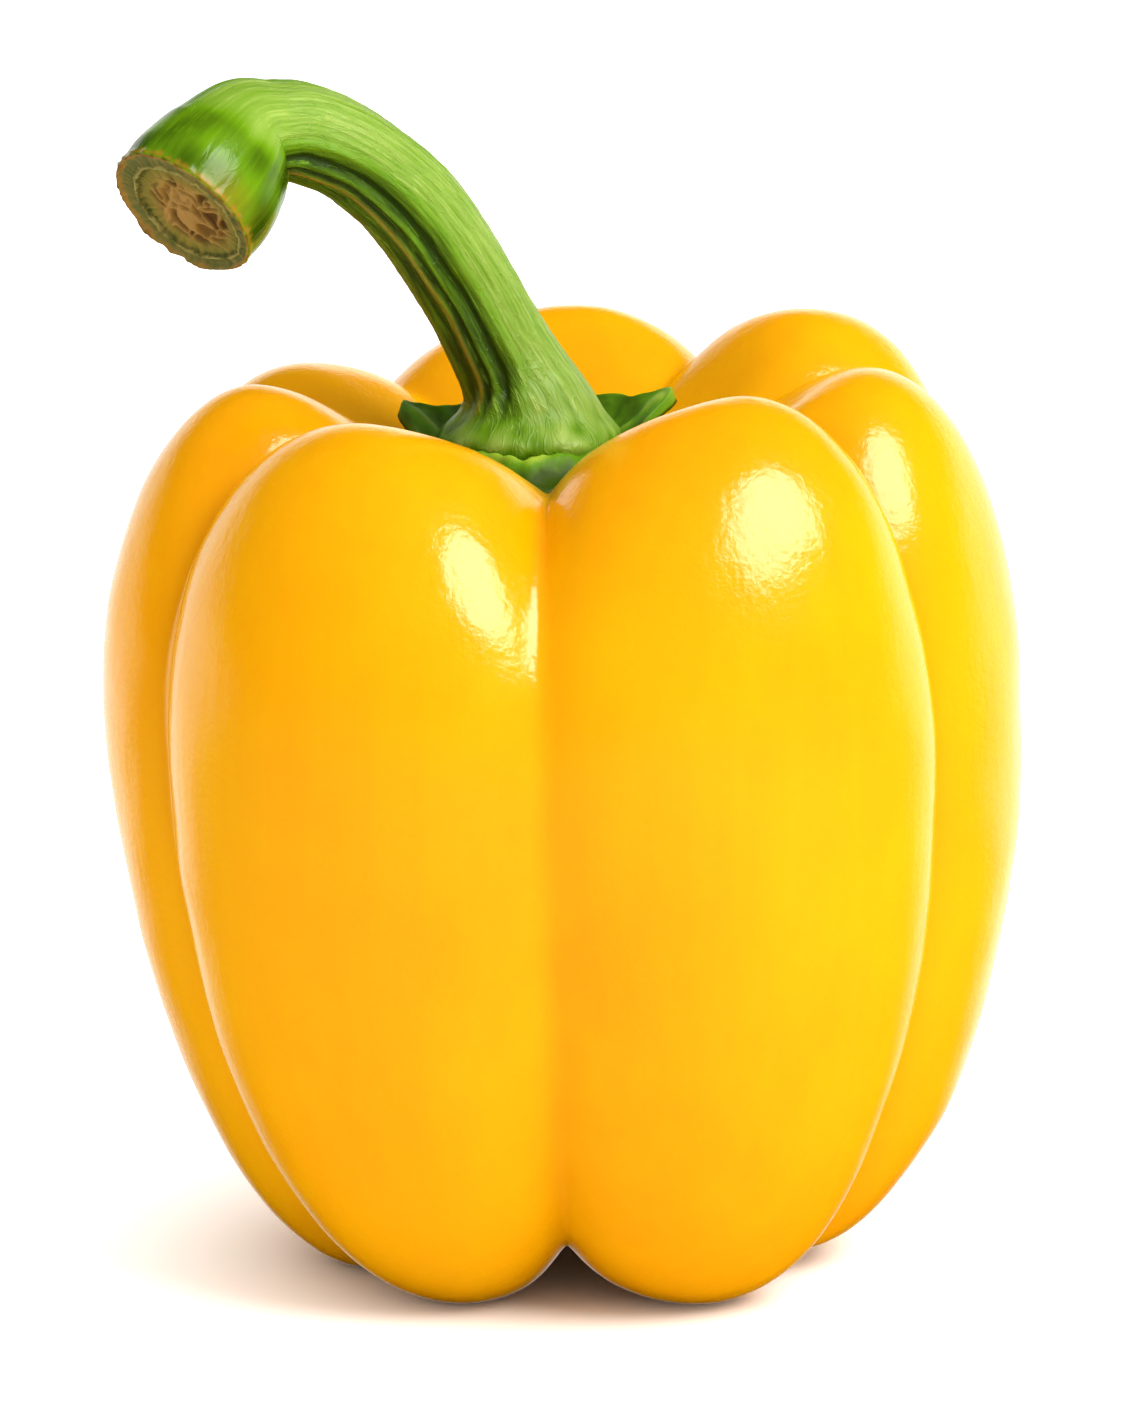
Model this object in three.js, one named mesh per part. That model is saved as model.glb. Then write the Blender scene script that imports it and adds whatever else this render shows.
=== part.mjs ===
// A bell pepper standing on its lobes, with its calyx and its curved stem.
// Millimetres, +Z up. The pepper stands on z = 0, and the middle of its bounding box is over the origin.
// It is three solids: the fruit, the calyx that lies in the hollow at its top, and the stem that was cut
// from the plant. Azimuths are in degrees, seen from above: 0 is +X, 90 is +Y, and 270 is the front.

import * as THREE from "three";
import { mergeVertices } from "three/addons/utils/BufferGeometryUtils.js";

const { degToRad, radToDeg, lerp, smoothstep, euclideanModulo } = THREE.MathUtils;

// ---------------------------------------------------------------- sizes

const gap = 0.3; // clearance between one piece and the next

// One row for each lobe, in order of azimuth. A lobe lies between the groove at its clockwise side and
// the next lobe's groove, and its crest is `lead` of the way across. A groove has an azimuth at the top and
// one at the foot. A profile has eight sizes:
//   ring      radius of the crest round the stem hollow
//   shoulder  height of that crest
//   full      superellipse exponent of the shoulder: 2 is an ellipse, and more is squarer
//   waist     radius where the profile is widest
//   girth     height where it is widest
//   taper     superellipse exponent of the flank under the waist
//   foot      radius of the foot ring
//   rise      how far the foot ring is off the table; a foot below 0 is pressed flat
const lobes = [
  { name: "right", groove: [328, 332], lead: 0.55,
    cut: { ring: 24, shoulder: 81, full: 2.1, waist: 40, girth: 50, taper: 1.9, foot: 18, rise: 4 },
    crest: { ring: 29, shoulder: 87.5, full: 2.1, waist: 44.3, girth: 51, taper: 1.9, foot: 23, rise: 1.5 } },
  { name: "back_right", groove: [376, 376], lead: 0.45,
    cut: { ring: 26, shoulder: 84, full: 2.2, waist: 42.5, girth: 52, taper: 1.9, foot: 21, rise: 1.5 },
    crest: { ring: 29, shoulder: 90, full: 2.6, waist: 46, girth: 52, taper: 1.9, foot: 21, rise: -0.4 } },
  { name: "back", groove: [421, 421], lead: 0.4,
    cut: { ring: 26, shoulder: 83.5, full: 2.1, waist: 40.5, girth: 54, taper: 1.9, foot: 17, rise: 4 },
    crest: { ring: 28, shoulder: 88.6, full: 2.1, waist: 45, girth: 54, taper: 1.9, foot: 18, rise: -0.4 } },
  { name: "back_left", groove: [486, 486], lead: 0.58,
    cut: { ring: 26, shoulder: 81, full: 2, waist: 40.5, girth: 56, taper: 1.85, foot: 17, rise: 3 },
    crest: { ring: 29, shoulder: 85, full: 2, waist: 44, girth: 57, taper: 1.8, foot: 20, rise: 0.5 } },
  { name: "left", groove: [526, 526], lead: 0.5,
    cut: { ring: 27, shoulder: 82, full: 1.9, waist: 42, girth: 57, taper: 1.8, foot: 20, rise: 0.6 },
    crest: { ring: 29, shoulder: 85.8, full: 1.9, waist: 43.9, girth: 58, taper: 1.75, foot: 20, rise: -0.2 } },
  { name: "front_left", groove: [560, 577], lead: 0.42,
    cut: { ring: 25, shoulder: 80, full: 2, waist: 40.5, girth: 56, taper: 1.85, foot: 18, rise: 3 },
    crest: { ring: 27, shoulder: 85.2, full: 2.1, waist: 45.5, girth: 54, taper: 1.9, foot: 18, rise: -0.4 } },
  { name: "front_right", groove: [625, 635], lead: 0.7,
    cut: { ring: 20, shoulder: 77.8, full: 2.1, waist: 40, girth: 52, taper: 1.9, foot: 14, rise: 5.5 },
    crest: { ring: 27, shoulder: 88, full: 2.1, waist: 45.6, girth: 54, taper: 1.95, foot: 21, rise: -0.4 } },
];

const hollowFloor = 76; // height of the hollow's floor, under the calyx
const hollowSteepness = 4; // over 2, the floor is flatter and the hollow's sides are steeper
const scarHeight = 9; // height of the hollow at the blossom end
const grooveSweep = 1.5; // over 1, a groove keeps its azimuth at the top and turns near the foot
const grooveRounding = 0.05; // how far round a groove's bottom is, as a share of the lobe
const lobeRoundness = 0.8; // under 1, a lobe is broader across its crest

const columnsPerLobe = 14;
const rows = { hollow: 9, shoulder: 10, flank: 15, foot: 8 };
const grooveCrowding = 0.35; // draws columns towards the grooves, where the surface turns fastest

// The calyx is a lobed disc that follows the hollow. Each tooth has an azimuth about the stem, the length
// that it adds to the disc's radius, how far its tip turns up, and its half width in degrees.
const teeth = [
  { azimuth: 20, length: 5.5, upturn: 3.2, spread: 24 },
  { azimuth: 92, length: 3.5, upturn: 1.5, spread: 26 },
  { azimuth: 158, length: 2.4, upturn: 2.6, spread: 24 },
  { azimuth: 216, length: 2.5, upturn: 0.6, spread: 24 },
  { azimuth: 268, length: 1.5, upturn: 0, spread: 22 },
  { azimuth: 316, length: 2.5, upturn: 0.8, spread: 24 },
];
const calyxRadius = 10.5; // about the stem, between its teeth
const calyxRim = 1.3; // thickness at the rim
const toothCurl = 4; // over 1, a tooth turns up only near its tip
const seatHeight = 79.2; // top of the calyx, where the stem grows from it
const seatRadius = 9.2;
const stemRoot = { x: -3, y: -0.5 }; // middle of that seat
const calyxColumns = 72;
const calyxRows = { top: 9, underside: 7 };

// Middle and radius of the stem, from the flare that stands on the calyx, round the bend, to the swollen
// end that was cut from the plant.
const stemStations = [
  { at: [-3.0, -0.5, seatHeight + gap], radius: 8.2 },
  { at: [-3.0, -0.5, 81.0], radius: 8.2 },
  { at: [-3.0, -0.5, 83.4], radius: 6.9 },
  { at: [-4.5, -0.6, 86.0], radius: 5.5 },
  { at: [-5.8, -0.8, 88.7], radius: 4.85 },
  { at: [-7.9, -1.5, 93.6], radius: 4.5 },
  { at: [-10.5, -2.4, 98.6], radius: 4.6 },
  { at: [-13.4, -3.5, 102.3], radius: 4.65 },
  { at: [-16.2, -4.7, 105.5], radius: 4.6 },
  { at: [-20.1, -6.5, 108.9], radius: 4.5 },
  { at: [-24.5, -8.6, 110.8], radius: 4.5 },
  { at: [-27.3, -10.3, 111.0], radius: 4.7 },
  { at: [-29.0, -11.8, 110.2], radius: 5.6 },
  { at: [-31.0, -13.8, 108.3], radius: 6.75 },
  { at: [-33.2, -15.8, 106.4], radius: 7.35 },
  { at: [-34.9, -17.5, 104.8], radius: 6.9 },
];
const stemRibs = 6;
const ribDepth = 0.045; // share of the radius
const ribsFade = [0.65, 0.85]; // shares of the length between which the ribs run out towards the cut end
const stemSides = 30;
const stemSections = 40;

// ---------------------------------------------------------------- solids

const quarter = Math.PI / 2;

// A closed solid from a sphere's grid. `placeAt` gives the place of a column and a row: the columns run
// counter-clockwise seen from row 0, and row 0 and the last row each come to one point.
function closedGrid(columns, rowCount, placeAt) {
  const geometry = new THREE.SphereGeometry(1, columns, rowCount);
  const place = geometry.getAttribute("position");
  for (let i = 0; i < place.count; i++)
    place.setXYZ(i, ...placeAt(i % (columns + 1) % columns, Math.floor(i / (columns + 1))));
  geometry.deleteAttribute("normal");
  geometry.deleteAttribute("uv");
  return mergeVertices(geometry);
}

// ---------------------------------------------------------------- fruit

const crestSizes = Object.keys(lobes[0].crest);

// Sizes of the profile at a share of the way across a lobe, from its own groove at 0 to the next at 1.
function profileAt(lobe, next, share) {
  const t = (share - lobe.lead) / (share < lobe.lead ? lobe.lead : 1 - lobe.lead);
  const flat = 1 - t * t;
  const soft = (Math.hypot(flat, grooveRounding) - grooveRounding) /
    (Math.hypot(1, grooveRounding) - grooveRounding);
  const bulge = soft ** lobeRoundness;
  const side = Math.sin(share * quarter) ** 2;
  const sizes = {};
  for (const key of crestSizes)
    sizes[key] = lerp(lerp(lobe.cut[key], next.cut[key], side), lobe.crest[key], bulge);
  return sizes;
}

// Height of the stem hollow, `at` of the way from the axis to its crest.
function hollowAt(p, at) {
  return lerp(hollowFloor, p.shoulder, Math.sin(at * quarter) ** hollowSteepness);
}

// Radius and height at a row: down from the axis at the top, out and round to the axis underneath.
function profilePoint(p, row) {
  let at = row / rows.hollow;
  if (at <= 1)
    return [p.ring * at, hollowAt(p, at)];
  at = (row - rows.hollow) / rows.shoulder;
  if (at <= 1)
    return [
      lerp(p.ring, p.waist, Math.sin(at * quarter) ** (2 / p.full)),
      lerp(p.girth, p.shoulder, Math.cos(at * quarter) ** (2 / p.full)),
    ];
  at = (row - rows.hollow - rows.shoulder) / rows.flank;
  if (at <= 1)
    return [
      lerp(p.foot, p.waist, Math.cos(at * quarter) ** (2 / p.taper)),
      lerp(p.girth, p.rise, Math.sin(at * quarter) ** (2 / p.taper)),
    ];
  at = (row - rows.hollow - rows.shoulder - rows.flank) / rows.foot;
  return [p.foot * (1 - at), lerp(p.rise, scarHeight, Math.sin(at * quarter) ** 2)];
}

function fruit() {
  const columns = columnsPerLobe * lobes.length;
  const rowCount = rows.hollow + rows.shoulder + rows.flank + rows.foot;
  return closedGrid(columns, rowCount, (column, row) => {
    const n = Math.floor(column / columnsPerLobe);
    const even = column / columnsPerLobe - n;
    const share = even - (grooveCrowding * Math.sin(2 * Math.PI * even)) / (2 * Math.PI);
    const lobe = lobes[n];
    const next = lobes[(n + 1) % lobes.length];
    const turn = n + 1 < lobes.length ? 0 : 360;
    const down = (row / rowCount) ** grooveSweep;
    const start = lerp(...lobe.groove, down);
    const azimuth = degToRad(lerp(start, lerp(...next.groove, down) + turn, share));
    const [radius, height] = profilePoint(profileAt(lobe, next, share), row);
    return [radius * Math.cos(azimuth), radius * Math.sin(azimuth), Math.max(height, 0)];
  });
}

// Height of the fruit's skin in the stem hollow, over a point of the table.
function hollowHeight(x, y) {
  const azimuth = radToDeg(Math.atan2(y, x));
  const from = (groove) => euclideanModulo(azimuth - groove, 360);
  const n = lobes.findIndex((lobe, i) => {
    const next = lobes[(i + 1) % lobes.length];
    return from(lobe.groove[0]) < euclideanModulo(next.groove[0] - lobe.groove[0], 360);
  });
  const lobe = lobes[n];
  const next = lobes[(n + 1) % lobes.length];
  const across = euclideanModulo(next.groove[0] - lobe.groove[0], 360);
  const p = profileAt(lobe, next, from(lobe.groove[0]) / across);
  return hollowAt(p, Math.hypot(x, y) / p.ring);
}

// ---------------------------------------------------------------- calyx

function calyx() {
  const { top, underside } = calyxRows;
  return closedGrid(calyxColumns, top + underside, (column, row) => {
    const azimuth = (360 * column) / calyxColumns;
    let reach = calyxRadius;
    let upturn = 0;
    for (const tooth of teeth) {
      const off = Math.abs(euclideanModulo(azimuth - tooth.azimuth + 180, 360) - 180) / tooth.spread;
      const bump = off < 1 ? Math.cos(off * quarter) ** 2 : 0;
      reach += tooth.length * bump;
      upturn += tooth.upturn * bump;
    }
    const out = row <= top ? row / top : (top + underside - row) / (underside - 1);
    const x = stemRoot.x + reach * out * Math.cos(degToRad(azimuth));
    const y = stemRoot.y + reach * out * Math.sin(degToRad(azimuth));
    const under = hollowHeight(x, y) + gap + upturn * out ** toothCurl;
    if (row > top) return [x, y, under];
    return [x, y, lerp(seatHeight, under + calyxRim, smoothstep(reach * out, seatRadius, reach))];
  });
}

// ---------------------------------------------------------------- stem

function stem() {
  const route = new THREE.CatmullRomCurve3(stemStations.map((station) => new THREE.Vector3(...station.at)));
  const girths = new THREE.SplineCurve(stemStations.map((station, i) => new THREE.Vector2(i, station.radius)));
  const { normals, binormals } = route.computeFrenetFrames(stemSections);
  const ringCount = stemSections + 1;
  return closedGrid(stemSides, ringCount + 1, (column, row) => {
    const section = THREE.MathUtils.clamp(ringCount - row, 0, stemSections);
    const along = section / stemSections;
    const place = route.getPointAt(along);
    if (row === 0 || row > ringCount) return place.toArray();
    const angle = (2 * Math.PI * column) / stemSides;
    const ribs = ribDepth * Math.cos(stemRibs * angle) * (1 - smoothstep(along, ...ribsFade));
    const radius = girths.getPoint(route.getUtoTmapping(along)).y * (1 + ribs);
    place.addScaledVector(normals[section], radius * Math.cos(angle));
    place.addScaledVector(binormals[section], radius * Math.sin(angle));
    return place.toArray();
  });
}

// ---------------------------------------------------------------- pepper

const finishes = {
  skin: new THREE.MeshStandardMaterial({ color: "#fdb900", roughness: 0.25, metalness: 0 }),
  calyx: new THREE.MeshStandardMaterial({ color: "#3f6a12", roughness: 0.5, metalness: 0 }),
  stem: new THREE.MeshStandardMaterial({ color: "#6f9a33", roughness: 0.45, metalness: 0 }),
};

function piece(name, geometry, finish) {
  const mesh = new THREE.Mesh(geometry, finish);
  mesh.name = name;
  return mesh;
}

const pepper = new THREE.Group();
pepper.add(piece("fruit", fruit(), finishes.skin));
pepper.add(piece("calyx", calyx(), finishes.calyx));
pepper.add(piece("stem", stem(), finishes.stem));

// The lobes and the stem are laid out about the fruit's axis. Now the middle of the box goes over the origin.
const middle = new THREE.Box3().setFromObject(pepper).getCenter(new THREE.Vector3());
pepper.position.set(-middle.x, -middle.y, 0);

export default pepper;
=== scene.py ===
import math

import bmesh
import bpy
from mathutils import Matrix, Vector, noise


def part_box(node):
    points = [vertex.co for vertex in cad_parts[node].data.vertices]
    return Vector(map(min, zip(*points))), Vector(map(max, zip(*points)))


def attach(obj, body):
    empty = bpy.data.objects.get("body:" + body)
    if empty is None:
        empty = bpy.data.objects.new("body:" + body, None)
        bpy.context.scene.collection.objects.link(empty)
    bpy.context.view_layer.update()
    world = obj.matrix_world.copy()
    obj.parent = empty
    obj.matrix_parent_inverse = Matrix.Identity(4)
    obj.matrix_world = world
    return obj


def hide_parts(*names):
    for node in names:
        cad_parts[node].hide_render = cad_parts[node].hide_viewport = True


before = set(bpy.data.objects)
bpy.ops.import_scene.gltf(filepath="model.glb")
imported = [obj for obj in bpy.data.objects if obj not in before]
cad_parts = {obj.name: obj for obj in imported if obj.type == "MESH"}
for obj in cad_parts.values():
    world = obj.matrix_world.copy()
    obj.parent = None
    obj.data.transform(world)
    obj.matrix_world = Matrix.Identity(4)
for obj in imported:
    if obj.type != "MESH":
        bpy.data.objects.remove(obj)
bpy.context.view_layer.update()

mm = 0.001


# ---------------------------------------------------------------- the fruit
# A bell pepper's fruit is one hollow berry: thick juicy flesh under a taut waxy skin. It grew as one
# piece, in seven lobes with a groove between each pair, and it stands on the low ends of the lobes.

def pick(piece):
    """Leaves this piece alone selected and active."""
    bpy.ops.object.select_all(action="DESELECT")
    piece.select_set(True)
    bpy.context.view_layer.objects.active = piece


def grown_from(node, name):
    """A new piece with a CAD node's shape, its loose triangles merged and paired into quads."""
    piece = bpy.data.objects.new(name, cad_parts[node].data.copy())
    bpy.context.scene.collection.objects.link(piece)
    piece.data.materials.clear()
    pick(piece)
    bpy.ops.object.mode_set(mode="EDIT")
    bpy.ops.mesh.select_all(action="SELECT")
    bpy.ops.mesh.remove_doubles(threshold=0.01 * mm)
    bpy.ops.mesh.tris_convert_to_quads(face_threshold=math.radians(60), shape_threshold=math.radians(60))
    bpy.ops.object.mode_set(mode="OBJECT")
    return piece


def modify(piece, kind, **settings):
    """Adds a modifier with these settings and applies it."""
    pick(piece)
    bpy.ops.object.modifier_add(type=kind)
    modifier = piece.modifiers[-1]
    for setting, value in settings.items():
        setattr(modifier, setting, value)
    bpy.ops.object.modifier_apply(modifier=modifier.name)


def swell(piece, size, strength, name):
    """Pushes the surface in and out by `strength` from end to end, in lumps of about `size`."""
    lumps = bpy.data.textures.new(name, "CLOUDS")
    lumps.noise_scale = size
    lumps.noise_depth = 1
    modify(piece, "DISPLACE", texture=lumps, texture_coords="LOCAL", strength=strength, mid_level=0.5)


fruit = grown_from("fruit", "pepper_fruit")
modify(fruit, "SUBSURF", levels=2, render_levels=2)
swell(fruit, 16 * mm, 0.7 * mm, "uneven_growth")
swell(fruit, 5 * mm, 0.12 * mm, "dimpled_flesh")
for vertex in fruit.data.vertices:
    vertex.co.z = max(vertex.co.z, 0.0)
pick(fruit)
bpy.ops.object.shade_smooth()
# The scar of the flower is in the hollow underneath, straight above the origin.
scar = fruit.ray_cast(Vector((0, 0, 0)), Vector((0, 0, 1)))[1]


def mark_hollows(piece, rounds, deepest, name):
    """Marks how deep each point lies inside the skin smoothed in `rounds`: 0 at it, and 1 from `deepest`."""
    mesh = piece.data
    smoothed = piece.copy()
    smoothed.data = mesh.copy()
    bpy.context.scene.collection.objects.link(smoothed)
    modify(smoothed, "SMOOTH", factor=0.9, iterations=rounds)
    marks = mesh.attributes.new(name, "FLOAT", "POINT")
    for vertex, soft, mark in zip(mesh.vertices, smoothed.data.vertices, marks.data):
        inward = (soft.co - vertex.co).dot(vertex.normal)
        mark.value = min(max(inward / deepest, 0.0), 1.0)
    bpy.data.objects.remove(smoothed)


mark_hollows(fruit, 160, 2.0 * mm, "groove")


def srgb(code):
    """An sRGB hex colour as linear RGBA."""
    channels = [int(code[i:i + 2], 16) / 255 for i in (1, 3, 5)]
    return [c / 12.92 if c <= 0.04045 else ((c + 0.055) / 1.055) ** 2.4 for c in channels] + [1.0]


def add_node(material, kind, inputs=(), **settings):
    """Adds a shader node. An input is a value or another node's output socket."""
    node = material.node_tree.nodes.new(kind)
    for setting, value in settings.items():
        setattr(node, setting, value)
    for socket, value in dict(inputs).items():
        if isinstance(value, bpy.types.NodeSocket):
            material.node_tree.links.new(value, node.inputs[socket])
        else:
            node.inputs[socket].default_value = value
    return node


def add_noise(material, place, size, detail):
    """A noise of soft specks about `size` across, as its output socket."""
    inputs = {"Vector": place, "Scale": 1 / size, "Detail": detail}
    return add_node(material, "ShaderNodeTexNoise", inputs).outputs["Fac"]


def new_material(name):
    """A material with no nodes in it yet."""
    material = bpy.data.materials.new(name)
    material.use_nodes = True
    material.node_tree.nodes.clear()
    return material


# A ripe bell pepper's skin: a thin clear wax over yellow flesh. The deeper orange in the grooves is
# painted shade, standing in for the light bounced between the lobes. Light sinks into the flesh, and the
# dimples in the wax break the edges of what it mirrors.
skin = new_material("waxy_pepper_skin")
place = add_node(skin, "ShaderNodeTexCoord").outputs["Object"]
groove = add_node(skin, "ShaderNodeAttribute", attribute_name="groove").outputs["Fac"]
# The flesh ripened unevenly, in patches about 26 mm across and in faint upright streaks 2 to 3 mm wide.
patches = add_noise(skin, place, 26 * mm, 3.0)
upright = add_node(skin, "ShaderNodeMapping", {"Vector": place, "Scale": (1, 1, 0.09)})
streaks = add_noise(skin, upright.outputs["Vector"], 2.4 * mm, 3.0)
uneven = add_node(
    skin, "ShaderNodeMix", {"Factor": 0.22, "A": patches, "B": streaks}, data_type="FLOAT")
ripeness = add_node(
    skin, "ShaderNodeMapRange",
    {"Value": uneven.outputs["Result"], "From Min": 0.38, "From Max": 0.66, "To Min": 0.0, "To Max": 0.4})
# Painted shade: the skin turns a deeper orange the deeper it lies in a groove, added to the random ripeness.
ripeness_and_groove_shade = add_node(
    skin, "ShaderNodeMath", {0: ripeness.outputs["Result"], 1: groove}, operation="ADD", use_clamp=True)
colour = add_node(
    skin, "ShaderNodeMix", {"Factor": ripeness_and_groove_shade.outputs[0], "A": srgb("#d29800"), "B": srgb("#cc8100")},
    data_type="RGBA")
scar_radius = 2.2 * mm
scar_off = add_node(
    skin, "ShaderNodeVectorMath", {0: place, 1: (scar.x, scar.y, scar.z)}, operation="DISTANCE")
scar_near = add_node(
    skin, "ShaderNodeMapRange",
    {"Value": scar_off.outputs["Value"], "From Min": scar_radius + 1 * mm, "From Max": scar_radius,
     "To Min": 0.0, "To Max": 1.0})
scarred = add_node(
    skin, "ShaderNodeMix",
    {"Factor": scar_near.outputs["Result"], "A": colour.outputs["Result"], "B": srgb("#6e4a1e")},
    data_type="RGBA")
# The wax's dimples are drawn 0.7 mm apart, coarser than the real ones, so that they show.
dimples = add_noise(skin, place, 0.7 * mm, 3.0)
waves_and_peel = add_node(
    skin, "ShaderNodeMath", {0: streaks, 1: 1.5, 2: dimples}, operation="MULTIPLY_ADD")
peel = add_node(
    skin, "ShaderNodeBump", {"Height": waves_and_peel.outputs[0], "Strength": 0.45, "Distance": 0.1 * mm})
surface = add_node(
    skin, "ShaderNodeBsdfPrincipled",
    {"Base Color": scarred.outputs["Result"], "Roughness": 0.5, "Specular IOR Level": 0.0,
     "Normal": peel.outputs["Normal"],
     "Subsurface Weight": 0.3, "Subsurface Radius": (1.0, 0.45, 0.08), "Subsurface Scale": 3 * mm,
     "Coat Weight": 1.0, "Coat Roughness": 0.17, "Coat Normal": peel.outputs["Normal"]})
add_node(skin, "ShaderNodeOutputMaterial", {"Surface": surface.outputs["BSDF"]})
fruit.data.materials.append(skin)
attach(fruit, "root")
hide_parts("fruit")


# ---------------------------------------------------------------- the stem
# The pepper's stem: a thick, ridged, fibrous stalk, flared where it leaves the calyx. It bends over under
# the fruit's weight, and it swells at the joint where it was cut from the plant. The cut has dried brown.

# Middle of the stem in millimetres from its root, and its radius there, up to the cut.
stem_route = [
    ((0.0, 0.0, -1.2), 7.8),
    ((0.0, 0.0, 1.3), 8.6),
    ((0.0, 0.0, 3.5), 6.9),
    ((-0.5, -0.1, 5.2), 6.05),
    ((-1.4, -0.1, 6.9), 5.4),
    ((-2.8, -0.3, 9.5), 5.0),
    ((-5.4, -1.0, 14.7), 4.8),
    ((-7.8, -1.9, 18.9), 4.8),
    ((-10.4, -3.0, 22.8), 4.8),
    ((-13.2, -4.2, 26.0), 4.7),
    ((-17.2, -6.0, 29.2), 4.6),
    ((-21.5, -8.1, 31.2), 4.65),
    ((-24.3, -9.8, 31.5), 4.75),
    ((-26.4, -11.2, 31.1), 5.6),
    ((-28.3, -13.2, 29.1), 6.9),
    ((-30.2, -15.3, 26.8), 7.55),
    ((-31.9, -17.1, 24.9), 7.4),
]
# The root is the middle of the CAD stem's lowest ring.
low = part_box("stem")[0]
base = [v.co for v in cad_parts["stem"].data.vertices if v.co.z < low.z + 0.01 * mm]
root = sum(base, Vector()) / len(base)


def ramp_up(x, start, end):
    """0 up to x = start, then rising smoothly to 1 at x = end."""
    share = min(max((x - start) / (end - start), 0.0), 1.0)
    return share * share * (3 - 2 * share)


def curve_through(values, at):
    """A smooth curve through evenly spaced values. `at` counts from 0 at the first one."""
    first = min(int(at), len(values) - 2)
    share = at - first
    before, start, end, after = [values[min(max(first + i, 0), len(values) - 1)] for i in (-1, 0, 1, 2)]
    return (
        start
        + (end - before) * (share / 2)
        + (before * 2 - start * 5 + end * 4 - after) * (share ** 2 / 2)
        + (start * 3 - before - end * 3 + after) * (share ** 3 / 2))


def rings_along(route, count):
    """Rings at even steps of length: middle, radius, distance along, and the two directions across."""
    middles = [root + Vector(at) * mm for at, radius in route]
    radii = [radius * mm for at, radius in route]
    fine = [i / 40 for i in range(40 * (len(route) - 1) + 1)]
    points = [curve_through(middles, at) for at in fine]
    lengths = [0.0]
    for start, end in zip(points, points[1:]):
        lengths.append(lengths[-1] + (end - start).length)
    rings = []
    side = Vector((1, 0, 0))
    for step in range(count):
        along = lengths[-1] * step / (count - 1)
        i = next(i for i, length in enumerate(lengths) if length >= along - 1e-9)
        at = fine[i]
        if i:
            at -= (lengths[i] - along) / (lengths[i] - lengths[i - 1]) * (fine[i] - fine[i - 1])
        ahead = curve_through(middles, min(at + 0.05, len(route) - 1.0))
        behind = curve_through(middles, max(at - 0.05, 0.0))
        forward = (ahead - behind).normalized()
        # The rings lie level at the foot, so that they don't cross inside its flare.
        forward = Vector((0, 0, 1)).lerp(forward, ramp_up(along / mm, 2, 13)).normalized()
        side = (side - forward * side.dot(forward)).normalized()
        middle = curve_through(middles, at)
        radius = curve_through(radii, at)
        rings.append((middle, radius, along, side.copy(), forward.cross(side)))
    return rings


def bell(x, width):
    """1 at x = 0, and falling smoothly to nothing a little past `width`."""
    return math.exp(-2.5 * (x / width) ** 2)


def turn_from(angle, degrees):
    """Signed degrees from a direction round the stem to this angle in radians."""
    return (math.degrees(angle) - degrees + 180) % 360 - 180


# Ridges and grooves along the stem: direction in degrees with 270 at the front, height in millimetres,
# width in degrees, and how much paler or darker than its surroundings each one is painted: painted light on
# the ridges and painted shade in the grooves.
ridges = [
    (267, 0.26, 8, 0.14), (250, -0.5, 7, -0.32), (239, 0.3, 6, 0.16), (230, -0.3, 5, -0.22),
    (222, 0.25, 5, 0.14), (207, -0.3, 9, -0.14), (188, 0.15, 12, 0.12), (164, -0.4, 11, -0.2),
    (142, 0.3, 13, 0.18), (118, -0.35, 12, -0.2), (96, 0.3, 13, 0.18), (74, -0.35, 12, -0.2),
    (52, 0.3, 14, 0.18), (30, -0.25, 12, -0.18), (345, -0.1, 10, -0.05)]
gold_rib = 222


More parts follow.
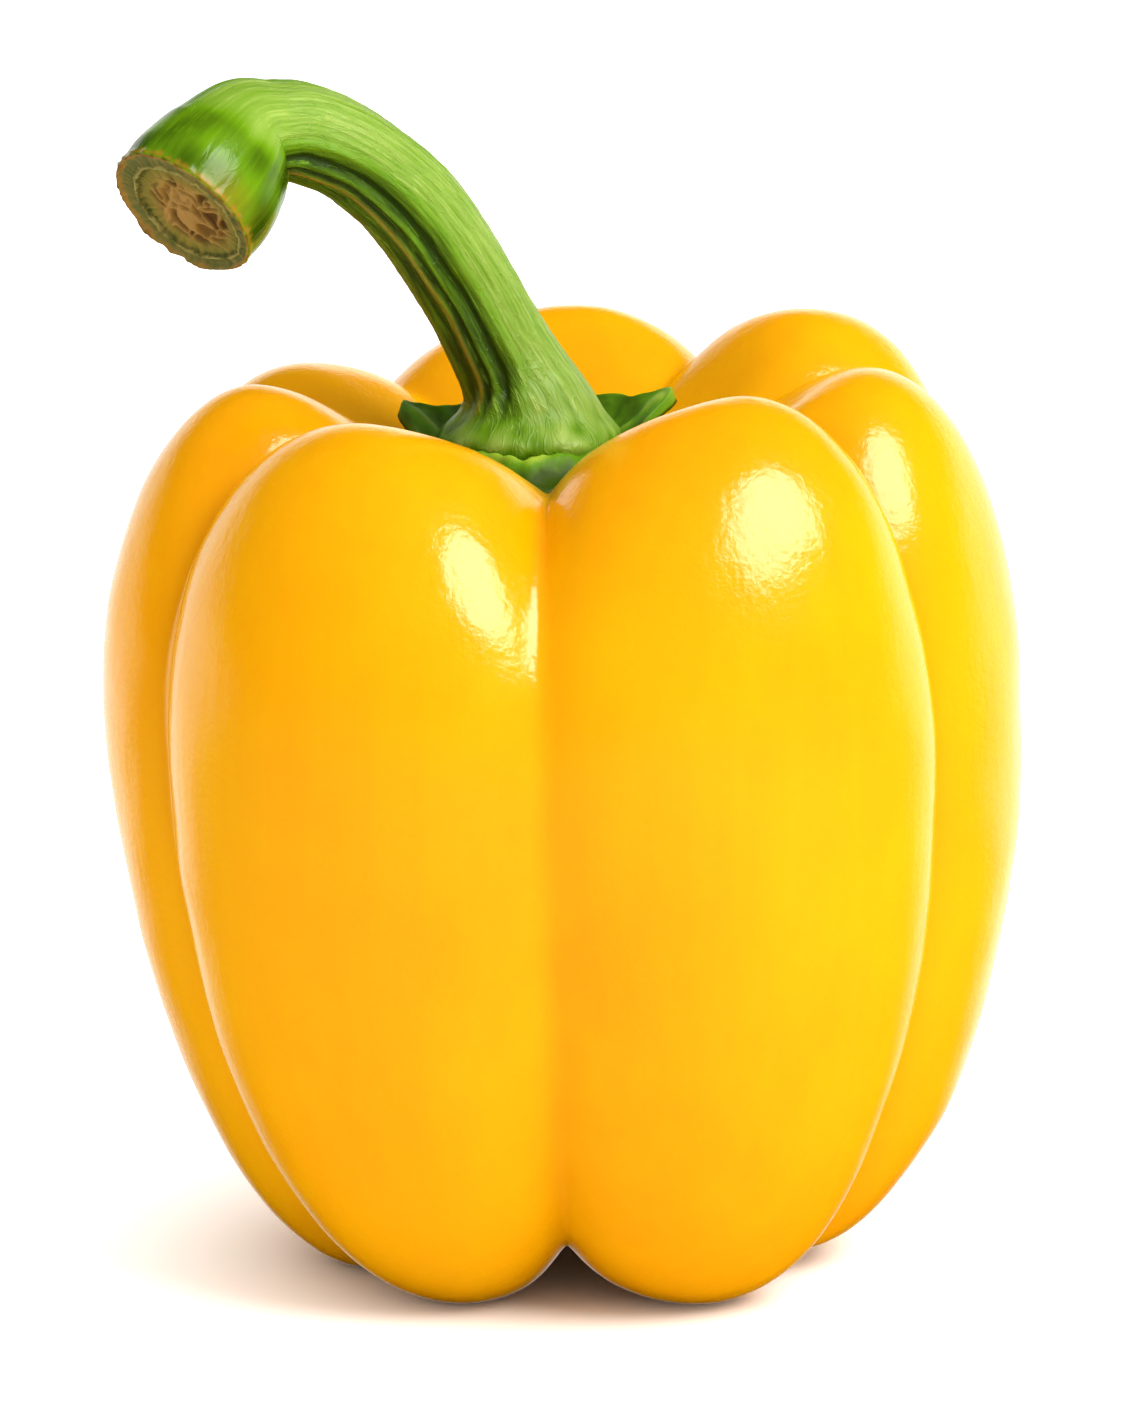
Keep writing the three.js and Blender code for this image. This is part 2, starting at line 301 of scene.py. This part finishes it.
def bark_at(angle, along, length):
    """The bark's height over a round stem in millimetres, its paleness, and how dry and brown it is."""
    at = along / mm
    left = (length - along) / mm
    across = Vector((math.cos(angle), math.sin(angle), 0))
    # The ridges wander round the stem, most of all near its foot.
    wander = -8 + 25 * ramp_up(at, 3, 11) + 5 * noise.noise(Vector((0, 0, at / 14)))
    ridged = ramp_up(at, 2, 9) * ramp_up(left, 6, 15)
    foot = 1 - ramp_up(at, 3, 9)
    knob = 1 - ramp_up(left, 7, 13)
    relief = 0.0
    pale = 0.0
    # Each ridge is painted paler, as painted light, and each groove darker, as painted shade.
    for direction, height, width, ridge_light_and_shade in ridges:
        near = bell(turn_from(angle, direction + wander), width)
        relief += height * near
        pale += ridge_light_and_shade * near
    # Painted light: the right side of the stem, towards the softbox, is painted paler.
    painted_lit_side = 1 / (1 + abs(turn_from(angle, 320 + wander) / 50) ** 9)
    threads = noise.noise(across * 15 + Vector((0, 0, at / 9)))
    threads += 0.8 * noise.noise(across * 30 + Vector((3, 0, at / 4)))
    beads = noise.noise(across * 14 + Vector((8, 0, at / 0.9)))
    lumps = noise.noise(across * 1.6 + Vector((0, 5, at / 6)))
    folds = noise.noise(across * 3.2 + Vector((5, 1, at / 2.2)))
    folds += 0.6 * noise.noise(across * 7 + Vector((1, 5, at / 1.1)))
    blotches = noise.noise(across * 1.8 + Vector((2, 7, at / 3.2)))
    blotches += 0.3 * noise.noise(across * 6 + Vector((6, 3, at / 6)))
    # Height in millimetres: the ridges, threads and beads, the lumps, and the folds at the foot.
    relief = relief * ridged + 0.09 * threads * (1 - 0.7 * knob - 0.6 * foot) + 0.05 * beads * ridged
    relief += (0.2 + 0.35 * foot) * lumps + 0.12 * folds * foot - 0.05
    # Paleness: the ridges and grooves (painted light and shade), the right side (painted light, where the
    # softbox falls), the threads, the foot, and the blotches on the knob.
    shown = ramp_up(at, 2, 9) * max(ramp_up(left, 5, 10), 0.2)
    pale = (pale + 0.62 * painted_lit_side) * shown + 0.12 + 0.16 * threads * (1 - 0.6 * knob - 0.6 * foot)
    pale += 0.42 * foot + 0.4 * folds * foot + knob * (0.06 + 0.3 * blotches)
    # Dryness: the brown rib, the left side, the rim of the cut, and a yellowed patch behind it.
    dry = 0.75 * bell(turn_from(angle, gold_rib + wander), 4) * ridged
    dry += 0.45 * bell(turn_from(angle, 200), 16) * ridged
    dry += 0.8 * (1 - ramp_up(left + 0.5 * threads, 0.1, 0.8))
    dry += 0.4 * knob * bell(turn_from(angle, 305), 30) * (1 - ramp_up(left, 1, 4))
    return relief, pale, dry


def open_tube(name, around, splits):
    """An upright tube from z = -0.5 to 0.5, whose height is split into each number of parts in turn."""
    bpy.ops.object.select_all(action="DESELECT")
    bpy.ops.mesh.primitive_cylinder_add(vertices=around, radius=1, depth=1, end_fill_type="NOTHING")
    piece = bpy.context.active_object
    piece.name = name
    bpy.ops.object.mode_set(mode="EDIT")
    for parts in splits:
        bpy.ops.mesh.select_all(action="DESELECT")
        mesh = bmesh.from_edit_mesh(piece.data)
        for edge in mesh.edges:
            edge.select = abs(edge.verts[0].co.z - edge.verts[1].co.z) > 0.01
        bmesh.update_edit_mesh(piece.data)
        bpy.ops.mesh.subdivide(number_cuts=parts - 1)
    bpy.ops.object.mode_set(mode="OBJECT")
    return piece


def close_ends(piece):
    """Fills the ring at each end of a bent tube, turns its faces outwards and shades it smooth."""
    pick(piece)
    bpy.ops.object.mode_set(mode="EDIT")
    bpy.ops.mesh.select_all(action="DESELECT")
    bpy.ops.mesh.select_mode(type="EDGE")
    bpy.ops.mesh.select_non_manifold()
    bpy.ops.mesh.edge_face_add()
    bpy.ops.mesh.select_all(action="SELECT")
    bpy.ops.mesh.normals_make_consistent(inside=False)
    bpy.ops.object.mode_set(mode="OBJECT")
    bpy.ops.object.shade_smooth()


# One round of splitting makes 100 cuts at most, so the stem takes two. Its last rows make the cut face.
stem_splits = (20, 16)
rows = stem_splits[0] * stem_splits[1] + 1
cut_rows = 41
stem_along = rows - cut_rows
stem = open_tube("pepper_stem", 200, stem_splits)

# Radii in millimetres at which the bark's and the cut's patterns are laid out flat.
bark_radius = 5
cut_radius = 7.4
# The pith lies off the middle of the cut, in this direction, by a tenth of the radius.
pith_side = Vector((math.cos(math.radians(235)), math.sin(math.radians(235)), 0)) * 0.1
rings = rings_along(stem_route, stem_along)
length = rings[-1][2]
for name, kind in (("straight", "FLOAT_VECTOR"), ("tone", "FLOAT"), ("dryness", "FLOAT")):
    stem.data.attributes.new(name, kind, "POINT")
straight = stem.data.attributes["straight"].data
tone = stem.data.attributes["tone"].data
dryness = stem.data.attributes["dryness"].data
for vertex in stem.data.vertices:
    row = round((vertex.co.z + 0.5) * (rows - 1))
    angle = math.atan2(vertex.co.y, vertex.co.x)
    across = Vector((math.cos(angle), math.sin(angle), 0))
    middle, radius, along, side, other = rings[min(row, stem_along - 1)]
    relief, pale, dry = bark_at(angle, along, length)
    edge = radius + relief * mm
    outward = side * across.x + other * across.y
    if row < stem_along - 1:
        # The rim of the cut is rolled outwards a little.
        rolled = bell((length - along) / mm, 0.8)
        rolled *= 0.1 + 0.3 * noise.noise(across * 8 + Vector((2, 2, 0)))
        vertex.co = middle + outward * (edge + rolled * mm)
        straight[vertex.index].vector = across * (bark_radius * mm) + Vector((0, 0, along))
        tone[vertex.index].value = pale
        dryness[vertex.index].value = dry
        continue
    # The cut: a ragged lip of dry rind, a sunken ring of green flesh, a raised woody ring and webbed pith.
    share = 1 - (row - stem_along + 1) / (cut_rows + 1)
    off_middle = (across * share - pith_side * (1 - share ** 4)).length
    wobble = 0.05 * noise.noise(across * 1.3 + Vector((0, 4, share)))
    bent = off_middle + wobble * ramp_up(1 - share, 0, 0.15)
    flat = across * share
    torn = noise.noise(across * 3.5 + Vector((7, 0, 0))) + 0.6 * noise.noise(across * 12)
    low_side = 1 + 0.8 * bell(turn_from(angle, 150), 70)
    lip = bell(share - 0.98, 0.025) * (0.16 + 0.26 * torn) * low_side
    spokes = noise.noise(across * 20 + Vector((0, 0, share * 1.5)))
    bend = Vector((noise.noise(flat * 4), noise.noise(flat * 4 + Vector((9, 0, 0))), 0)) * 0.2
    distances, cells = noise.voronoi((flat + bend) * 3.6 + Vector((0.4, 0.2, 0.7)))
    cell_shade = 0.5 + 0.9 * noise.noise(cells[0] * 2.3)
    web = bell(distances[1] - distances[0], 0.3)
    pith = 1 - ramp_up(bent + 0.12 * noise.noise(flat * 5 + Vector((0, 6, 0))), 0.5, 0.66)
    inner = 1 - ramp_up(bent, 0.76, 0.8)
    level = -0.3 * ramp_up(1 - share, 0.02, 0.06) + 0.3 * bell(bent - 0.79, 0.03) - 0.25 * inner
    level += 0.12 * spokes * ramp_up(bent, 0.4, 0.6) * ramp_up(0.97 - share, 0, 0.05)
    level += pith * (0.4 * web - 0.3 + 0.12 * noise.noise(flat * 6 + Vector((0, 9, 0))))
    vertex.co = middle + outward * (edge * share) + side.cross(other) * ((level + lip) * mm)
    past_end = Vector((0, 0, length + (1 - bent) * cut_radius * mm))
    straight[vertex.index].vector = flat * (cut_radius * mm) + past_end
    tone[vertex.index].value = pith * web + 0.5 * (1 - pith) * (0.5 + spokes)
    dryness[vertex.index].value = pith * (1 - web) * min(max(cell_shade, 0.1), 0.9)
close_ends(stem)

# A pepper stem's green bark: smooth and slightly waxy, with pale threads and beads raised along it, so it
# shines in short broken lines. It is brown and dry on one rib and at the edge of the cut. The fibres are
# 0.5 to 0.9 mm apart, coarser than the real ones, so that they show.
bark = new_material("stem_bark")
unrolled = add_node(bark, "ShaderNodeAttribute", attribute_name="straight").outputs["Vector"]
# The tone holds painted light and shade on the ridges, grooves and right side, besides the stem's own paler
# threads, foot and knob blotches.
paleness = add_node(bark, "ShaderNodeAttribute", attribute_name="tone").outputs["Fac"]
dry_part = add_node(bark, "ShaderNodeAttribute", attribute_name="dryness").outputs["Fac"]
along_stem = add_node(bark, "ShaderNodeSeparateXYZ", {"Vector": unrolled}).outputs["Z"]


def up_to_knob(before, after):
    """A value that changes along the stem from `before` to `after` where the knob at its end begins."""
    return add_node(
        bark, "ShaderNodeMapRange",
        {"Value": along_stem, "From Min": length - 14 * mm, "From Max": length - 8 * mm,
         "To Min": before, "To Max": after}).outputs["Result"]


def lines_in(pattern, half_width):
    """Thin lines where a noise crosses its middle value: 1 on them, and 0 where it is `half_width` away."""
    off_line = add_node(bark, "ShaderNodeMath", {0: pattern, 1: 0.5}, operation="SUBTRACT")
    off_line = add_node(bark, "ShaderNodeMath", {0: off_line.outputs[0]}, operation="ABSOLUTE")
    return add_node(
        bark, "ShaderNodeMapRange",
        {"Value": off_line.outputs[0], "From Min": half_width, "From Max": 0.0, "To Min": 0.0,
         "To Max": 1.0},
        interpolation_type="SMOOTHSTEP").outputs["Result"]


above_foot = add_node(
    bark, "ShaderNodeMapRange",
    {"Value": along_stem, "From Min": 3 * mm, "From Max": 9 * mm, "To Min": 0.25, "To Max": 1.0})
fibrous = add_node(
    bark, "ShaderNodeMath", {0: above_foot.outputs["Result"], 1: up_to_knob(1.0, 0.3)},
    operation="MULTIPLY")
drawn_out = add_node(bark, "ShaderNodeMapping", {"Vector": unrolled, "Scale": (1, 1, 0.1)})
hairlines = add_noise(bark, drawn_out.outputs["Vector"], 0.5 * mm, 3.0)
hairline_tone = add_node(
    bark, "ShaderNodeMapRange",
    {"Value": hairlines, "From Min": 0.3, "From Max": 0.7, "To Min": -0.16, "To Max": 0.16})
stretched = add_node(bark, "ShaderNodeMapping", {"Vector": unrolled, "Scale": (1, 1, 0.03)})
on_fibre = lines_in(add_noise(bark, stretched.outputs["Vector"], 0.9 * mm, 2.0), 0.03)
# Pale dashes along the fibres: partly the fibres' own paler colour, partly painted glints.
breaks = add_noise(bark, unrolled, 1.3 * mm, 1.0)
dashes = add_node(
    bark, "ShaderNodeMapRange",
    {"Value": breaks, "From Min": 0.4, "From Max": 0.6, "To Min": 0.15, "To Max": 1.0})
fibre = add_node(
    bark, "ShaderNodeMath", {0: on_fibre, 1: dashes.outputs["Result"]}, operation="MULTIPLY")
fibre_streaks_and_glints = add_node(
    bark, "ShaderNodeMath", {0: fibre.outputs[0], 1: 0.42, 2: hairline_tone.outputs["Result"]},
    operation="MULTIPLY_ADD")
total_tone = add_node(
    bark, "ShaderNodeMath", {0: fibre_streaks_and_glints.outputs[0], 1: fibrous.outputs[0], 2: paleness},
    operation="MULTIPLY_ADD")
greens = add_node(bark, "ShaderNodeValToRGB", {"Fac": total_tone.outputs[0]})
greens.color_ramp.elements[0].color = srgb("#2e4402")
greens.color_ramp.elements[1].color = srgb("#8aa04a")
greens.color_ramp.elements.new(0.45).color = srgb("#5e820a")
browned = add_node(
    bark, "ShaderNodeMix", {"Factor": dry_part, "A": greens.outputs["Color"], "B": srgb("#8a6a1c")},
    data_type="RGBA", clamp_factor=True)
squeezed = add_node(bark, "ShaderNodeMapping", {"Vector": unrolled, "Scale": (1, 1, 0.28)})
worms = add_node(
    bark, "ShaderNodeTexNoise",
    {"Vector": squeezed.outputs["Vector"], "Scale": 1 / (0.65 * mm), "Detail": 1.0, "Distortion": 0.6})
on_line = lines_in(worms.outputs["Fac"], 0.07)
bumps = add_node(bark, "ShaderNodeMath", {0: on_line, 1: 0.5, 2: hairlines}, operation="MULTIPLY_ADD")
raised_fibre = add_node(
    bark, "ShaderNodeMath", {0: fibre.outputs[0], 1: fibrous.outputs[0]}, operation="MULTIPLY")
bumps = add_node(
    bark, "ShaderNodeMath", {0: raised_fibre.outputs[0], 1: 0.9, 2: bumps.outputs[0]},
    operation="MULTIPLY_ADD")
bump = add_node(
    bark, "ShaderNodeBump",
    {"Height": bumps.outputs[0], "Strength": up_to_knob(0.65, 0.12), "Distance": 0.12 * mm})
surface = add_node(
    bark, "ShaderNodeBsdfPrincipled",
    {"Base Color": browned.outputs["Result"], "Roughness": up_to_knob(0.4, 0.2),
     "Specular IOR Level": 0.28, "Normal": bump.outputs["Normal"], "Subsurface Weight": 0.08,
     "Subsurface Radius": (0.4, 1.0, 0.1), "Subsurface Scale": 1 * mm})
add_node(bark, "ShaderNodeOutputMaterial", {"Surface": surface.outputs["BSDF"]})

# The dried cut: dull and fibrous, grey-green in its outer ring, olive inside it, and tan to brown in the
# pith, where thin pale membranes stand between brown hollows. Its grain is drawn at 0.4 mm.
cut_flesh = new_material("dried_stem_flesh")
unrolled = add_node(cut_flesh, "ShaderNodeAttribute", attribute_name="straight").outputs["Vector"]
raised = add_node(cut_flesh, "ShaderNodeAttribute", attribute_name="tone").outputs["Fac"]
hollowed = add_node(cut_flesh, "ShaderNodeAttribute", attribute_name="dryness").outputs["Fac"]
along_stem = add_node(cut_flesh, "ShaderNodeSeparateXYZ", {"Vector": unrolled}).outputs["Z"]
from_middle = add_node(
    cut_flesh, "ShaderNodeMath", {0: length + cut_radius * mm, 1: along_stem}, operation="SUBTRACT")
smears = 0.9 * mm
uneven = add_noise(cut_flesh, unrolled, 1.2 * mm, 4.0)
moved = add_node(
    cut_flesh, "ShaderNodeMath", {0: uneven, 1: smears, 2: from_middle.outputs[0]},
    operation="MULTIPLY_ADD")
share = add_node(
    cut_flesh, "ShaderNodeMath", {0: moved.outputs[0], 1: cut_radius * mm + smears / 2}, operation="DIVIDE")
layers = add_node(cut_flesh, "ShaderNodeValToRGB", {"Fac": share.outputs[0]})
# From the middle of the cut (0) to its rim (1).
layer_colours = [
    (0.0, "#6c4a1a"), (0.5, "#74561e"), (0.62, "#716424"), (0.74, "#626020"), (0.785, "#343e10"),
    (0.81, "#857e44"), (0.84, "#4a5020"), (0.94, "#585c2c"), (0.975, "#86682c"), (1.0, "#6a4818")]
while len(layers.color_ramp.elements) < len(layer_colours):
    layers.color_ramp.elements.new(0.5)
for element, (position, code) in zip(layers.color_ramp.elements, layer_colours):
    element.position = position
    element.color = srgb(code)
lighter = add_node(
    cut_flesh, "ShaderNodeMath", {0: raised, 1: 0.6}, operation="MULTIPLY", use_clamp=True)
webbed = add_node(
    cut_flesh, "ShaderNodeMix",
    {"Factor": lighter.outputs[0], "A": layers.outputs["Color"], "B": srgb("#9c7c40")},
    data_type="RGBA")
holed = add_node(
    cut_flesh, "ShaderNodeMix", {"Factor": hollowed, "A": webbed.outputs["Result"], "B": srgb("#402408")},
    data_type="RGBA", clamp_factor=True)
grain = add_noise(cut_flesh, unrolled, 0.4 * mm, 3.0)
bump = add_node(
    cut_flesh, "ShaderNodeBump", {"Height": grain, "Strength": 0.6, "Distance": 0.15 * mm})
surface = add_node(
    cut_flesh, "ShaderNodeBsdfPrincipled",
    {"Base Color": holed.outputs["Result"], "Roughness": 0.6, "Specular IOR Level": 0.12,
     "Normal": bump.outputs["Normal"]})
add_node(cut_flesh, "ShaderNodeOutputMaterial", {"Surface": surface.outputs["BSDF"]})

stem.data.materials.append(bark)
stem.data.materials.append(cut_flesh)
straight = stem.data.attributes["straight"].data
for face in stem.data.polygons:
    if min(straight[i].vector.z for i in face.vertices) > length - 0.01 * mm:
        face.material_index = 1
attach(stem, "root")
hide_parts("stem")


# ---------------------------------------------------------------- the calyx
# The green disc at the top, with small teeth: what is left of the flower's sepals. It lies in the hollow
# of the fruit and grew together with it and with the stem.

# The rim, going round: direction in degrees, distance from the middle of the stem's foot, and height above
# the root, in millimetres. The far ones are the points of the teeth.
rim = [
    (17, 14.8, 4.4), (33, 11.8, 3.7), (60, 10.4, 3.4), (88, 12.0, 3.6), (115, 10.2, 2.7), (142, 10.6, 2.6),
    (163, 13.2, 3.3), (180, 11.2, 1.6), (206, 10.6, 0.9), (228, 11.4, 0.0), (250, 11.8, -1.3),
    (271, 13.0, -2.6), (292, 11.8, -1.2), (316, 11.4, 0.3), (338, 10.4, 1.0), (357, 11.0, 2.2)]
# The middle of each tooth has a rib along it. The front one lies low, over the groove in front of the stem.
midribs = [17, 88, 163, 228, 270, 318]
front_tooth = 270
# Two lumps and a dimple where that tooth meets the stem: direction, distance out and height.
lumps_in_front = [(241, 9.2, 0.5), (292, 9.3, 0.6), (268, 9.0, -1.1)]
# Nearer the middle than this it has no detail, as the stem's foot hides it.
inner_edge = 5.0
# Going up the tube, this share of it becomes the top, out to the rim, and the rest the underside.
rim_row = 0.64
calyx = open_tube("pepper_calyx", 240, (79,))


def skin_height(x, y):
    """Height of the fruit's skin in the hollow."""
    hit, spot = fruit.ray_cast(Vector((x, y, 0.1)), Vector((0, 0, -1)))[:2]
    return spot.z if hit else root.z


def rim_at(angle):
    """The rim's distance out and its height in this direction."""
    degrees = math.degrees(angle) % 360
    around = [(rim[-1][0] - 360, *rim[-1][1:])] + rim + [(rim[0][0] + 360, *rim[0][1:])]
    for start, end in zip(around, around[1:]):
        if start[0] <= degrees <= end[0]:
            share = ramp_up(degrees, start[0], end[0])
            return [start[i] + (end[i] - start[i]) * share for i in (1, 2)]


calyx.data.attributes.new("tone", "FLOAT", "POINT")
tone = calyx.data.attributes["tone"].data
for vertex in calyx.data.vertices:
    angle = math.atan2(vertex.co.y, vertex.co.x)
    at = vertex.co.z + 0.5
    across = Vector((math.cos(angle), math.sin(angle), 0))
    reach, height = rim_at(angle)
    on_top = at < rim_row
    out = at / rim_row if on_top else (1 - at) / (1 - rim_row)
    far = inner_edge + (reach - inner_edge) * out
    x = root.x + far * mm * across.x
    y = root.y + far * mm * across.y
    skin_z = (skin_height(x, y) - root.z) / mm
    rib = sum(bell(turn_from(angle, direction), 9) for direction in midribs)
    beside = sum(bell(abs(turn_from(angle, direction)) - 18, 10) for direction in midribs)
    lumps = noise.noise(across * 3 + Vector((0, 0, far / 3)))
    lumps += 0.5 * noise.noise(across * 8 + Vector((0, 3, far / 1.3)))
    front = bell(turn_from(angle, front_tooth), 55)
    spread = ramp_up(far, 7.0 + 2.0 * front, reach)
    top = 0.2 + (height - 0.2) * spread + 0.3 * lumps
    top += 0.45 * rib * ramp_up(far, 7, 10) * ramp_up(1 - out, 0, 0.1)
    top -= 0.7 * beside * bell(out - 0.7, 0.22)
    top += 0.35 * bell(out - 0.93, 0.06) * (1 - front)
    for direction, distance, size in lumps_in_front:
        top += size * bell(turn_from(angle, direction), 15) * bell(far - distance, 1.3)
    collar = front * bell(far - 9.1, 1.5)
    top += (1.0 + 0.9 * lumps) * collar
    top = max(top, skin_z + 0.5 + 0.2 * lumps)
    thick = (1.1 + 0.9 * (1 - out) + 6 * front) * math.sqrt(max(0.0, 1 - out ** 14))
    bottom = max(top - thick, skin_z + 0.05)
    edge_drop = 0.8 * ramp_up(out, 0.93, 1.0)
    z = top - edge_drop if on_top else min(bottom, top - edge_drop)
    vertex.co = Vector((x, y, root.z + z * mm))
    # Painted shade: the front tooth, low under the stem's foot, is painted darker, and the underside
    # darkest. Painted light: the collar against the foot is painted paler, as lit from above.
    pale = 0.35 + 0.3 * rib + 0.35 * lumps - 0.75 * front * spread - 0.2 * out + 0.45 * collar
    tone[vertex.index].value = pale if on_top else 0.1
close_ends(calyx)

# A calyx's green skin: darker than the stem, a little waxy, and paler on its ribs. It is mottled in specks
# of 1.6 mm, and its fine wrinkles are 0.7 mm apart, coarser than the real ones.
green = new_material("calyx_green")
place = add_node(green, "ShaderNodeTexCoord").outputs["Object"]
# The tone holds painted shade on the front tooth and the underside and painted light on the collar, besides
# the paler ribs and lumps.
raised = add_node(green, "ShaderNodeAttribute", attribute_name="tone").outputs["Fac"]
mottle = add_noise(green, place, 1.6 * mm, 5.0)
mottled = add_node(green, "ShaderNodeMath", {0: mottle, 1: 0.5, 2: raised}, operation="MULTIPLY_ADD")
greens = add_node(green, "ShaderNodeValToRGB", {"Fac": mottled.outputs[0]})
greens.color_ramp.elements[0].position = 0.2
greens.color_ramp.elements[0].color = srgb("#384c04")
greens.color_ramp.elements[1].position = 1.0
greens.color_ramp.elements[1].color = srgb("#8fa434")
greens.color_ramp.elements.new(0.65).color = srgb("#5a820c")
grain = add_noise(green, place, 0.7 * mm, 3.0)
bump = add_node(green, "ShaderNodeBump", {"Height": grain, "Strength": 0.4, "Distance": 0.12 * mm})
surface = add_node(
    green, "ShaderNodeBsdfPrincipled",
    {"Base Color": greens.outputs["Color"], "Roughness": 0.45, "Specular IOR Level": 0.16,
     "Normal": bump.outputs["Normal"],
     "Subsurface Weight": 0.08, "Subsurface Radius": (0.4, 1.0, 0.1), "Subsurface Scale": 1 * mm})
add_node(green, "ShaderNodeOutputMaterial", {"Surface": surface.outputs["BSDF"]})
calyx.data.materials.append(green)
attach(calyx, "root")
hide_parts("calyx")


# ---------------------------------------------------------------- the table
# A plain white studio table that the pepper stands on, wide enough to reach the horizon. It isn't part of
# the pepper. It is matt, it glows a little away from the pepper so that it comes out as white as the
# backdrop, and it is kept out of the glossy skin's reflections.
bpy.ops.object.select_all(action="DESELECT")
bpy.ops.mesh.primitive_plane_add(size=12.0, location=(0, 0, 0))
table = bpy.context.active_object
table.name = "white_table"
table.visible_glossy = False
paper = new_material("matt_white_paper")
place = add_node(paper, "ShaderNodeTexCoord").outputs["Object"]
from_middle = add_node(paper, "ShaderNodeVectorMath", {0: place}, operation="LENGTH").outputs["Value"]
glow = add_node(
    paper, "ShaderNodeMapRange",
    {"Value": from_middle, "From Min": 18 * mm, "From Max": 60 * mm, "To Min": 0.0, "To Max": 0.45})
surface = add_node(
    paper, "ShaderNodeBsdfPrincipled",
    {"Base Color": srgb("#fdfdfd"), "Roughness": 0.9, "Specular IOR Level": 0.0,
     "Emission Color": srgb("#ffffff"), "Emission Strength": glow.outputs["Result"]})
add_node(paper, "ShaderNodeOutputMaterial", {"Surface": surface.outputs["BSDF"]})
table.data.materials.append(paper)


# ---------------------------------------------------------------- the studio light
# An even white room and one large softbox, high on the right. The room is dark in front as the glossy skin
# sees it, as with black cards there, so the skin mirrors only the softbox and the white behind the pepper.
room = bpy.data.worlds.new("white_studio")
bpy.context.scene.world = room
room.use_nodes = True
room.node_tree.nodes.clear()
# The room isn't sampled as a lamp, so the skin's gloss comes only from what it mirrors.
room.cycles.sampling_method = "NONE"
direction = add_node(room, "ShaderNodeTexCoord").outputs["Generated"]
# What is mirrored: a white band behind the pepper, reaching a little round its sides.
to_either_side = add_node(room, "ShaderNodeVectorMath", {0: direction}, operation="ABSOLUTE").outputs[0]
off_level = add_node(
    room, "ShaderNodeVectorMath", {0: to_either_side, 1: (0.35, 0, -1.2)},
    operation="DOT_PRODUCT").outputs["Value"]
backwards = add_node(room, "ShaderNodeSeparateXYZ", {"Vector": direction}).outputs["Y"]
behind = add_node(room, "ShaderNodeMath", {0: off_level, 1: backwards}, operation="ADD").outputs[0]
mirrored = add_node(
    room, "ShaderNodeMapRange",
    {"Value": behind, "From Min": 0.24, "From Max": 0.75, "To Min": 0.0, "To Max": 1.7},
    interpolation_type="SMOOTHSTEP").outputs["Result"]
# What lights: a room that is brighter to the right and above. Straight to the camera it is plain white.
ray = add_node(room, "ShaderNodeLightPath")
to_the_right = add_node(
    room, "ShaderNodeVectorMath", {0: direction, 1: (0.52, 0, 0.45)},
    operation="DOT_PRODUCT").outputs["Value"]
lighting = add_node(room, "ShaderNodeMath", {0: to_the_right, 1: 1.2}, operation="ADD").outputs[0]
lit_or_mirrored = add_node(
    room, "ShaderNodeMix", {"Factor": ray.outputs["Is Glossy Ray"], "A": lighting, "B": mirrored},
    data_type="FLOAT").outputs["Result"]
strength = add_node(
    room, "ShaderNodeMix", {"Factor": ray.outputs["Is Camera Ray"], "A": lit_or_mirrored, "B": 1.0},
    data_type="FLOAT").outputs["Result"]
background = add_node(room, "ShaderNodeBackground", {"Strength": strength})
add_node(room, "ShaderNodeOutputWorld", {"Surface": background.outputs["Background"]})

lamp = bpy.data.lights.new("softbox", "AREA")
lamp.shape = "ELLIPSE"
lamp.size = 0.72
lamp.size_y = 0.72
lamp.energy = 13.2
softbox = bpy.data.objects.new("softbox", lamp)
bpy.context.scene.collection.objects.link(softbox)
softbox.location = (0.58, -0.50, 0.85)
lit_middle = Vector((0, 0, 0.05))
softbox.rotation_euler = (lit_middle - softbox.location).to_track_quat("-Z", "Y").to_euler()


# ---------------------------------------------------------------- the camera
# A long lens, a little above the pepper, looking slightly down on it.
camera_data = bpy.data.cameras.new("camera")
camera_data.lens = 187.6
camera_data.sensor_width = 36
camera = bpy.data.objects.new("camera", camera_data)
bpy.context.scene.collection.objects.link(camera)
tilt = math.radians(12)
look_at = Vector((-0.2 * mm, -1.3 * mm, 54.7 * mm))
camera_distance = 0.7
camera.location = look_at + camera_distance * Vector((0, -math.cos(tilt), math.sin(tilt)))
camera.rotation_euler = (look_at - camera.location).to_track_quat("-Z", "Y").to_euler()
bpy.context.scene.camera = camera
bpy.context.scene.view_settings.view_transform = "Standard"
bpy.context.scene.view_settings.gamma = 0.88
